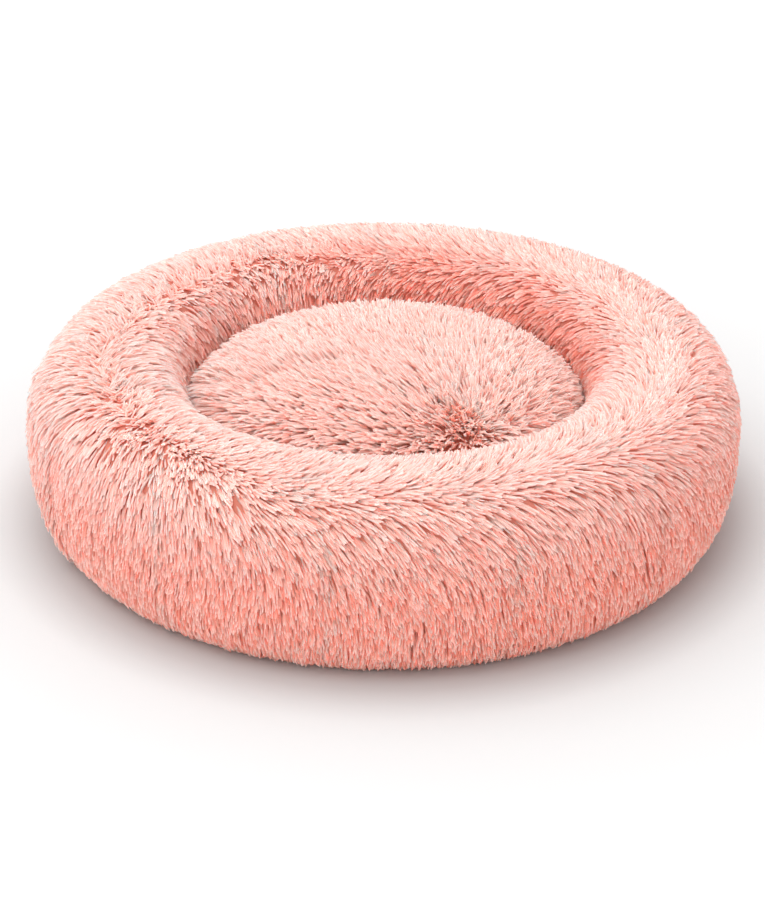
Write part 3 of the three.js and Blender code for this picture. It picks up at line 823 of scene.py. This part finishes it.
# The cushion: a dome with a soft shoulder, its pile combed out from one whorl
cushion = {
    "topShare": 0.67,
    "backingDepth": 0.0078,
    "groundDepth": 0.0040,
    "clothDepth": 0.0138,
    "edgeWidth": 0.0455,  # from its seam in to where its underside lies flat
    "strands": 24000,
    "strandsPerLock": 4,
    "pileWidth": 2.05 * mm,
    "pileReach": 0.020,
    "pileHeight": 0.0150,
    "thickShare": 0.55,
    "underShare": 0.50,
    "underLevel": 0.64,
    "lockTurn": 9,
    "strandTurn": 7,
    "gather": 0.24,
    "sectors": 3,
    "seed": 23,
    "whorl": np.array([0.071, -0.086]),
    "whorlPull": (0.40, 0.030),  # pile set closer at the whorl, and how near to it
    "whorlUpright": (0.85, 0.028),  # and standing up
    "curls": [(0.28, (31, 27), (1, 0)), (0.16, (71, 63), (0, 2))],  # radians, waves a metre, phases
    "tint": 0.86,
    # painted light: paler at the whorl, lifting the shade among its upright strands
    "whorlPaintedLight": 0.10,
    # painted shade: deeper at the rim, down in the crevice against the ring
    "rimShade": 0.75,
    "rimFade": (0.145, 0.185),
}
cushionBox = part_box("cushion_fur_top")


def cushionSection(inset, count=400):
    low, high = cushionBox
    r, z = squaredQuarter(high[0] - inset, high[2] - low[2] - inset, cushion["topShare"],
                          np.linspace(0, 1, 500)[::-1])
    return evenSection(r, low[2] + z, count, -1)


cushionSkin = cushionSection(cushion["backingDepth"])


def onCushion(where, shift, height):
    # where holds places on the cover laid out flat round the middle of the dome
    flat = where + shift
    arc, angle = np.hypot(flat[:, 0], flat[:, 1]), np.arctan2(flat[:, 1], flat[:, 0])
    past = np.maximum(arc - cushionSkin["arc"][-1], 0)
    return onSkin(cushionSkin, arc, angle, height, 0, past)


def cushionSamples(count, shift):
    u, v = spread(count, shift)
    arc, angle = arcAt(v, cushionSkin, np.maximum(cushionSkin["r"], 1e-4)), u * 2 * math.pi
    where = np.stack([arc * np.cos(angle), arc * np.sin(angle)], axis=1)
    off = where - cushion["whorl"]
    pull, near = cushion["whorlPull"]
    return where - off * (pull * np.exp(-(off ** 2).sum(axis=1) / near ** 2))[:, None]


def cushionNap(where, rng):
    way = where - cushion["whorl"] + rng.normal(0, 0.012, where.shape)
    far = np.linalg.norm(way, axis=1)
    way = way / (far + 1e-6)[:, None]
    curl = 0.5 * np.exp(-far / 0.05)
    for size, waves, phases in cushion["curls"]:
        along = np.sin(waves[0] * where[:, 0] + phases[0])
        curl = curl + size * along * np.cos(waves[1] * where[:, 1] + phases[1])
    upright, near = cushion["whorlUpright"]
    return turnedBy(way, curl), upright * np.exp(-(far / near) ** 2)


def cushionLightAndShade(where):
    # painted shade deepens the rim in its crevice against the ring, and painted light makes the
    # whorl paler
    off = np.linalg.norm(where - cushion["whorl"], axis=1)
    rim = cushion["rimShade"] * smoothStep(np.linalg.norm(where, axis=1), *cushion["rimFade"])
    return cushion["tint"] - rim + cushion["whorlPaintedLight"] * (1 - smoothStep(off, 0.01, 0.05))


def makeCushionBacking():
    skin = cushionSection(cushion["groundDepth"], 80)
    inside = cushionSection(cushion["clothDepth"], 80)
    outer = list(zip(skin["r"], skin["z"]))[::-1]
    inner = list(zip(inside["r"], inside["z"]))
    outer[-1] = (0.0, outer[-1][1])
    inner[0] = (0.0, inner[0][1])
    mesh = revolvedMesh("cushion_backing", [outer + inner], 144)
    piece = newPiece("cushion_backing", mesh, cushionUnderfur, "cushion",
                     "cushion_fur_top")


def makeCushionPile():
    pile = growPile(cushion, cushion["seed"], cushionSamples, onCushion, cushionNap, cushionLightAndShade)
    off = cushionSamples(cushion["strands"], 0) - cushion["whorl"]
    toNearRim = math.atan2(cushion["whorl"][1], cushion["whorl"][0])  # no division at the sides
    angles = np.arctan2(off[:, 1], off[:, 0]) - toNearRim
    coverWithPile("cushion_pile", cushion, "cushion", cushionPlush, angles, pile)


makeCushionBacking()
makeCushionPile()
print("cushion covered")


# The base: woven cloth in two halves. The ring holds its middle off the floor.
base = {
    "gap": 0.00015,  # half of what is open between the halves
    "slot": (-0.1090, 0.1081),  # from end to end of the zip's opening, along X
    "slotHalf": 0.0079,
    "levels": [(0.0, 0.0110), (0.2003, 0.0110), (0.2040, 0.0096), (0.2125, 0.0016),
               (0.2163, 0.0005), (0.3, 0.0005)],  # radius and height of its underside
    "thickness": 0.7 * mm,
    "sag": 0.0012,
    "pucker": 0.3 * mm,
    "columns": 200,
    "dotPitch": 0.0095,
    "dotRadius": 1.5 * mm,
    "dotHeight": 0.5 * mm,
    "dotSides": 10,
    "dotRings": [(1.0, -0.1), (1.0, 0.25), (0.72, 0.8)],  # shares of the dot's radius and height
    "dotFreeStep": (0.198, 0.2185),  # radii of the step down to the floor, which has no dots
    "dotFreeEdge": 0.009,
    "dotFreeZip": (0.006, 0.0155),  # past the slot's ends, and to each side of its middle
    "stitchLength": 3.2 * mm,
    "stitchGap": 0.18,  # the share of it between one stitch and the next
    "threadRadius": 0.25 * mm,
    "seamLines": (0.0098, 0.0128),  # rows of stitches from the zip's middle line
    "endSeam": 0.004,  # the row across each end of the zip
    "middleSeam": 0.0022,
    "middleSeamEnds": (0.008, 0.196, 0.2185, 0.258),
    "edgeSeam": 0.2575,
    "bindingWidth": 0.0070,
    "bindingFold": 0.2 * mm,
}


def baseUnderside(x, y):
    r, angle = np.hypot(x, y), np.arctan2(y, x)
    radii, heights = zip(*base["levels"])
    level = np.interp(r, radii, heights)
    crease = 0.5 + 0.5 * np.sin(14 * angle + 2.2 * np.sin(3 * angle) + 9 * r)
    where = smoothStep(np.abs(y), 0.022, 0.07) * smoothStep(r, 0.06, 0.16)
    level = level - base["sag"] * crease * where * (1 - smoothStep(r, 0.17, 0.2))
    pucker = 0.5 + 0.5 * np.sin(92 * angle + 2.0 * np.sin(7 * angle))
    return level + base["pucker"] * pucker * smoothStep(r, 0.238, 0.262)


def slotAngle(r, slotEnd):
    # where a circle of radius r meets the straight edge of the cloth or the slot in it
    half = base["slotHalf"]
    if r <= slotEnd:
        return math.asin(min(half / r, 1.0))
    if r <= math.hypot(slotEnd, half) + 1e-6:
        return math.acos(slotEnd / r)
    return math.asin(base["gap"] / r)


def slabMesh(name, lower, upper):
    # a closed sheet between two grids of points
    rows, cols = lower.shape[:2]
    index = np.arange(rows * cols).reshape(rows, cols)
    count = rows * cols
    corners = [index[:-1, :-1], index[1:, :-1], index[1:, 1:], index[:-1, 1:]]
    quads = np.stack(corners, -1).reshape(-1, 4)
    rim = np.concatenate([index[0, :-1], index[:-1, -1], index[-1, :0:-1], index[:0:-1, 0]])
    after = np.roll(rim, -1)
    walls = np.stack([rim, after, after + count, rim + count], -1)
    faces = np.concatenate([quads[:, ::-1], quads + count, walls]).tolist()
    points = np.concatenate([lower.reshape(-1, 3), upper.reshape(-1, 3)])
    return newMesh(name, points, faces)


def makeBaseHalf(side, name, node):
    low, high = base["slot"]
    half = base["slotHalf"]
    slotRows = [r for end in (-low, high) for r in (end, math.hypot(end, half), end + 0.0006)]
    radii = np.concatenate([
        np.linspace(half + 2e-4, 0.104, 26), slotRows, np.linspace(0.112, 0.198, 22),
        np.linspace(0.2003, 0.2165, 9), np.linspace(0.220, baseRadius, 12),
    ])
    grid = []
    for r in np.sort(radii):
        right, left = slotAngle(r, high), math.pi - slotAngle(r, -low)
        angles = right + (left - right) * np.linspace(0, 1, base["columns"])
        grid.append(np.stack([r * np.cos(angles), side * r * np.sin(angles)], -1))
    grid = np.array(grid)
    under = baseUnderside(grid[:, :, 0], grid[:, :, 1])
    mesh = slabMesh(name, np.dstack([grid, under]), np.dstack([grid, under + base["thickness"]]))
    piece = newPiece(name, mesh, oxfordCloth, "bed", node)


def dotPlaces(side):
    pitch, rowPitch = base["dotPitch"], base["dotPitch"] * 0.866
    low, high = base["slot"]
    stepStart, stepEnd = base["dotFreeStep"]
    endClear, sideClear = base["dotFreeZip"]
    columns = int(baseRadius / pitch) + 2
    places = []
    for row in range(int(baseRadius / rowPitch) + 1):
        for k in range(-columns, columns + 1):
            x, y = (k + 0.5 * (row % 2)) * pitch, (row + 0.5) * rowPitch
            r = math.hypot(x, y)
            atZip = y < sideClear and low - endClear < x < high + endClear
            if r < baseRadius - base["dotFreeEdge"] and not stepStart < r < stepEnd and not atZip:
                places.append((x, side * y))
    return np.array(places).T


def makeGripDots(side, name):
    x, y = dotPlaces(side)
    sides, height = base["dotSides"], base["dotHeight"]
    angles = np.arange(sides) * 2 * math.pi / sides
    vertices, faces = [], []
    for cx, cy, cz in zip(x, y, baseUnderside(x, y)):
        faces += loftFaces(len(vertices), len(base["dotRings"]), sides, tip=True)
        for share, drop in base["dotRings"]:
            r, z = base["dotRadius"] * share, cz - height * drop
            vertices += [(cx + r * math.cos(a), cy + r * math.sin(a), z) for a in angles]
        vertices.append((cx, cy, cz - height))
    newPiece(name, newMesh(name, vertices, faces), gripPvc, "bed")


def threadMesh(name, starts, ends, outs):
    # one raised stitch from each start to its end
    radius, sides = base["threadRadius"], 6
    along = np.array([0.04, 0.2, 0.5, 0.8, 0.96])
    girth = np.array([0.4, 0.9, 1.0, 0.9, 0.4])
    rise = np.array([-0.8, 0.1, 0.45, 0.1, -0.8])
    way = ends - starts
    centres = starts[:, None] + way[:, None] * along[None, :, None]
    centres = centres + outs[:, None] * (rise * radius)[None, :, None]
    across = np.cross(way / np.linalg.norm(way, axis=1, keepdims=True), outs)[:, None]
    angles = (np.arange(sides) * 2 * math.pi / sides)[None, :, None]
    rings = across * np.cos(angles) + outs[:, None] * np.sin(angles)
    points = centres[:, :, None] + rings[:, None] * (girth * radius)[None, :, None, None]
    faces = []
    for s in range(len(starts)):
        faces += loftFaces(s * len(along) * sides, len(along), sides)
    return newMesh(name, points.reshape(-1, 3), faces)


def stitches(x, y):
    # where each stitch starts and ends along a line on the base's underside
    points = np.column_stack([x, y, baseUnderside(x, y)])
    return points[:-1], points[1:] - (points[1:] - points[:-1]) * base["stitchGap"]


def stitchLine(start, end):
    count = max(int(math.dist(start, end) / base["stitchLength"]), 1)
    t = np.linspace(0, 1, count + 1)
    return stitches(start[0] * (1 - t) + end[0] * t, start[1] * (1 - t) + end[1] * t)


def makeStitching(side, name):
    low, high = base["slot"]
    past, y = base["endSeam"], side * base["middleSeam"]
    near, slotSide, footSide, far = base["middleSeamEnds"]
    runs = [stitchLine((low - past, side * row), (high + past, side * row))
            for row in base["seamLines"]]
    for end, way in ((low, -1), (high, 1)):
        x = end + way * past
        runs.append(stitchLine((x, side * 0.002), (x, side * 0.0096)))
        runs.append(stitchLine((way * (abs(end) + near), y), (way * slotSide, y)))
        runs.append(stitchLine((way * footSide, y), (way * far, y)))
    radius = base["edgeSeam"]
    angles = np.linspace(0.02, math.pi - 0.02, int(math.pi * radius / base["stitchLength"]))
    runs.append(stitches(radius * np.cos(angles), side * radius * np.sin(angles)))
    starts, ends = (np.concatenate(points) for points in zip(*runs))
    mesh = threadMesh(name, starts, ends, np.tile([0.0, 0.0, -1.0], (len(starts), 1)))
    newPiece(name, mesh, sewingThread, "bed")


def makeBinding():
    low, high = (corner[2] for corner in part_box("base_binding"))
    middle, half = (low + high) / 2, (high - low) / 2
    inner, fold = baseRadius - base["bindingWidth"], base["bindingFold"]
    nose = [(baseRadius - half + half * math.cos(a), middle + half * math.sin(a))
            for a in np.linspace(-math.pi / 2, math.pi / 2, 9)]
    back = [(inner + fold, high), (inner, high - fold), (inner, low + fold), (inner + fold, low)]
    mesh = revolvedMesh("base_binding_tape", [nose + back], 256)
    newPiece("base_binding_tape", mesh, bindingRibs, "bed", "base_binding")


for side, end in ((-1, "front"), (1, "rear")):
    makeBaseHalf(side, f"base_cloth_{end}", f"base_panel_{end}")
for side, end in ((-1, "front"), (1, "rear")):
    makeGripDots(side, f"base_grip_dots_{end}")
    makeStitching(side, f"base_stitching_{end}")
makeBinding()
print("base sewn")


# The zip: moulded teeth on two tapes, with a die-cast slider and pull
fastener = {
    "pitch": 0.005,
    "firstTooth": -0.100,
    "teeth": 40,
    "middleHeight": 0.0132,
    "thickness": 0.0028,
    "outline": [(0.0013, -0.0049), (0.000875, 0.0003), (0.001325, 0.0006), (0.00075, 0.0013)],
    "toothBevel": 0.3 * mm,
    "cordPlace": 0.0034,
    "cordRadius": 0.7 * mm,
    "cordOpening": 26,  # degrees to each side of where the tape leaves its thick edge
    "tapeHalfThickness": 0.3 * mm,
    "tapeEdge": 0.4 * mm,
    "selvedgeWave": 0.15 * mm,
    "metalBevel": 0.28 * mm,
    "resinBevel": 0.14 * mm,
}


def makeTeeth(side, name, node):
    half = fastener["outline"]
    outline = np.array(half + [(-x, y) for x, y in reversed(half)])
    shift = 0.0
    if side > 0:
        outline = outline * (1, -1)
        shift = fastener["pitch"] / 2
    centre = outline.mean(axis=0)
    size = outline.max(axis=0) - outline.min(axis=0)
    bevel, thick = fastener["toothBevel"], fastener["thickness"] / 2
    narrow = centre + (outline - centre) * (1 - 2 * bevel / size)
    levels = [(narrow, -thick), (outline, bevel - thick), (outline, thick - bevel), (narrow, thick)]
    vertices, faces = [], []
    for i in range(fastener["teeth"]):
        x = fastener["firstTooth"] + shift + i * fastener["pitch"]
        faces += loftFaces(len(vertices), len(levels), len(outline))
        for shape, height in levels:
            vertices += [(x + p[0], p[1], fastener["middleHeight"] + height) for p in shape]
    newPiece(name, newMesh(name, vertices, faces, 30), mouldedAcetal, "bed", node)


def makeZipCloth(side, name, node):
    low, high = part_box(node)
    far = max(abs(low[1]), abs(high[1]))
    cord, radius, opening = (fastener[key] for key in ("cordPlace", "cordRadius", "cordOpening"))
    thin, edge = fastener["tapeHalfThickness"], fastener["tapeEdge"]
    section = [(cord + radius * math.cos(a), radius * math.sin(a))
               for a in np.radians(np.linspace(opening, 360 - opening, 15))]
    section += [(far - edge, -thin), (far, -thin / 2), (far, thin / 2), (far - edge, thin)]
    stations = np.linspace(low[0], high[0], 120)
    vertices = []
    for x in stations:
        wave = abs(fastener["selvedgeWave"] * math.sin(x * 700))
        for y, z in section:
            vertices.append((x, side * (y - wave * (y > 0.012)), fastener["middleHeight"] + z))
    mesh = newMesh(name, vertices, loftFaces(0, len(stations), len(section)))
    newPiece(name, mesh, zipWeave, "bed", node)


def bevelledCopy(node, name, body, width, material):
    # the node's own solid, with its edges broken as the mould or die leaves them
    work = bmesh.new()
    work.from_mesh(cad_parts[node].data)
    bmesh.ops.remove_doubles(work, verts=work.verts, dist=1e-6)
    bmesh.ops.dissolve_limit(work, angle_limit=math.radians(1), verts=work.verts, edges=work.edges)
    sharp = [e for e in work.edges
             if len(e.link_faces) == 2 and e.calc_face_angle() > math.radians(25)]
    bmesh.ops.bevel(work, geom=sharp, offset=width, segments=2, profile=0.6, affect="EDGES",
                    clamp_overlap=True)
    bmesh.ops.triangulate(work, faces=[f for f in work.faces if len(f.verts) > 4])
    mesh = bpy.data.meshes.new(name)
    work.to_mesh(mesh)
    work.free()
    smoothMesh(mesh, 35)
    mesh.materials.clear()
    newPiece(name, mesh, material, body, node)


def makeZip():
    resin, metal = fastener["resinBevel"], fastener["metalBevel"]
    for side, end in ((-1, "front"), (1, "rear")):
        makeTeeth(side, f"zip_teeth_{end}", f"zip_tape_{end}")
        makeZipCloth(side, f"zip_cloth_{end}", f"zip_tape_{end}")
        bevelledCopy(f"zip_top_stop_{end}", f"zip_end_stop_{end}", "bed",
                     resin, mouldedAcetal)
    bevelledCopy("zip_bottom_stop", "zip_foot_stop", "bed", resin, mouldedAcetal)
    bevelledCopy("zip_slider", "zip_runner", "slider", metal, platedZinc)
    bevelledCopy("zip_pull", "zip_handle", "pull", metal, platedZinc)


makeZip()
print("zip made")


# The well's floor: the same fur, pressed flat under the cushion
wellBed = {
    "radius": 0.1902,
    "thickness": 0.7 * mm,
    "strands": 9000,
    "strandsPerLock": 4,
    "pileWidth": 2.7 * mm,
    "pileReach": 0.015,
    "pileHeight": 1.0 * mm,
    "thickShare": 0.25,
    "underShare": 0.3,
    "underLevel": 0.4,
    "lockTurn": 9,
    "strandTurn": 7,
    "gather": 0.22,
    "sectors": 1,
    "seed": 37,
    "tint": 0.35,
}


def onWellFloor(where, shift, height):
    flat = where + shift
    far = np.hypot(flat[:, 0], flat[:, 1])
    flat = flat * np.minimum(1, wellBed["radius"] / np.maximum(far, 1e-6))[:, None]
    point = np.column_stack([flat, wellFloorBox[0][2] + wellBed["thickness"] + height])
    return point, np.tile([0.0, 0.0, 1.0], (len(where), 1))


def wellSamples(count, shift):
    u, v = spread(count, shift)
    r, angle = wellBed["radius"] * np.sqrt(v), u * 2 * math.pi
    return np.stack([r * np.cos(angle), r * np.sin(angle)], axis=1)


def wellNap(where, rng):
    turned = 2.2 + 0.7 * np.sin(14 * where[:, 0] + 5 * where[:, 1])
    turned = turned + rng.normal(0, 0.1, len(where))
    return np.stack([np.cos(turned), np.sin(turned)], axis=1), np.zeros(len(where))


def wellTint(where):
    return wellBed["tint"]


def makeWellFloor():
    low = wellFloorBox[0][2]
    radii = np.linspace(0, wellBed["radius"], 24)
    upper = [(r, low + wellBed["thickness"]) for r in radii]
    lower = [(r, low) for r in radii[::-1]]
    mesh = revolvedMesh("well_floor_cloth", [upper + lower], 128)
    piece = newPiece("well_floor_cloth", mesh, ringUnderfur, "bed", "well_floor_panel")
    pile = growPile(wellBed, wellBed["seed"], wellSamples, onWellFloor, wellNap, wellTint)
    coverWithPile("well_floor_pile", wellBed, "bed", ringPlush,
                  np.zeros(wellBed["strands"]), pile)


# What the covers hold: nonwoven bags, the fibre in them, and wadding over the base cloth
filling = {
    "ringBag": (0.0164, 0.0172),  # from the tips of the pile in to the bag's two faces
    "ringFibre": 0.0186,
    "ringFoot": 0.0015,  # how far off the floor the bag lies, at an inset of 16 mm
    "cushionBag": ((0.0033, 0.0146), (0.0041, 0.0154)),  # below and above, for its two faces
    "cushionFibre": (0.0052, 0.0165),
    "cushionMiddle": 0.075,
    "bagLumps": 0.8 * mm,
    "fibreLumps": 2.5 * mm,
}


def footCurve(inset, count=40):
    # from the cushion's seam down to its flat underside
    low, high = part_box("cushion_base_cloth")
    flat = high[0] - cushion["edgeWidth"]
    r, z = squaredQuarter(cushion["edgeWidth"] - inset, high[2] - low[2] - inset,
                          ring["footShare"], np.linspace(0, 1, count))
    return list(zip(flat + r, high[2] - z))


def pillowLoop(footInset, topInset):
    top = cushionSection(topInset, 60)
    over = list(zip(top["r"], top["z"]))[::-1]
    over[-1] = (0.0, over[-1][1])
    under = footCurve(footInset)[::-1]
    return [(0.0, under[0][1])] + under + over


def wholeRing(inset):
    # the ring's whole section, also where the base and the well's floor cover it
    drop = ring["widestHeight"] - filling["ringFoot"] - (inset - 0.016)
    return list(zip(*ringQuarters(inset, drop, np.linspace(0, 1, 26)[:-1])))


def lumpsRound(centre, level, amount, seed):
    # stuffing shows as soft lumps, which only draw the surface in towards the section's middle
    def lumps(angles, r, z):
        turn = np.arctan2(z - level, r - centre)
        wave = np.sin(9 * angles + 2 * turn + seed) * np.sin(5 * turn - 4 * angles + 2 * seed)
        wave = wave + 0.5 * np.sin(23 * angles - 3 * turn)
        wave = wave + 0.3 * np.sin(41 * angles + 9 * turn + seed)
        pull = amount * (0.5 + 0.28 * wave) / np.maximum(np.hypot(r - centre, z - level), 0.02)
        return r - (r - centre) * pull, z - (z - level) * pull
    return lumps


def stuffing(name, node, body, loops, sides, lumps, material):
    piece = newPiece(name, revolvedMesh(name, loops, sides, lumps), material, body, node)


def makeInnerLayers():
    bagLumps, fibreLumps = filling["bagLumps"], filling["fibreLumps"]
    ringMiddle = crestRadius, ring["widestHeight"]
    stuffing("ring_inner_bag", "bolster_liner", "bed",
             [wholeRing(inset) for inset in filling["ringBag"]], 160,
             lumpsRound(*ringMiddle, bagLumps, 1), innerBagCloth)
    stuffing("ring_fibre", "bolster_fill", "bed",
             [wholeRing(filling["ringFibre"])], 200,
             lumpsRound(*ringMiddle, fibreLumps, 2), cardedFibre)
    (_, _, low), (edge, _, high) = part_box("base_wadding")
    pad = [(0.0, low), (edge * 0.5, low), (edge - 0.002, low), (edge, (low + high) / 2),
           (edge - 0.002, high), (edge * 0.5, high), (0.0, high)]
    stuffing("base_wadding_pad", "base_wadding", "bed", [pad], 128, None,
             cardedFibre)
    stuffing("cushion_inner_bag", "cushion_liner", "cushion",
             [pillowLoop(*insets) for insets in filling["cushionBag"]], 128,
             lumpsRound(0, filling["cushionMiddle"], bagLumps, 3), innerBagCloth)
    stuffing("cushion_fibre", "cushion_fill", "cushion",
             [pillowLoop(*filling["cushionFibre"])], 160,
             lumpsRound(0, filling["cushionMiddle"], fibreLumps, 4), cardedFibre)


def seamPucker(angles, r, z):
    # the base cloth gathers where the fur is sewn to it
    gather = 0.5 + 0.5 * np.sin(64 * angles + 2.5 * np.sin(5 * angles))
    soft = 0.5 + 0.5 * np.sin(17 * angles + 1.7 * np.sin(3 * angles))
    r = r - (0.0012 * gather + 0.0006 * soft) * smoothStep(z, 0.040, 0.070) * (r > 0.1)
    flat = smoothStep(r, 0.05, 0.09) * (1 - smoothStep(r, 0.105, 0.125)) * (z < 0.03)
    return r, z + 0.0007 * soft * flat


def makeCushionCloth():
    under, above = footCurve(0.0), footCurve(1.2 * mm)
    radii = np.linspace(0.105, 0.01, 16)
    flatUnder = [(r, under[-1][1]) for r in radii] + [(0.0, under[-1][1])]
    flatAbove = [(0.0, above[-1][1])] + [(r, above[-1][1]) for r in radii[::-1]]
    loop = under + flatUnder + flatAbove + above[::-1]
    mesh = revolvedMesh("cushion_cloth", [loop], 320, seamPucker)
    piece = newPiece("cushion_cloth", mesh, oxfordCloth, "cushion",
                     "cushion_base_cloth")


makeWellFloor()
makeInnerLayers()
makeCushionCloth()
print("inner layers made")
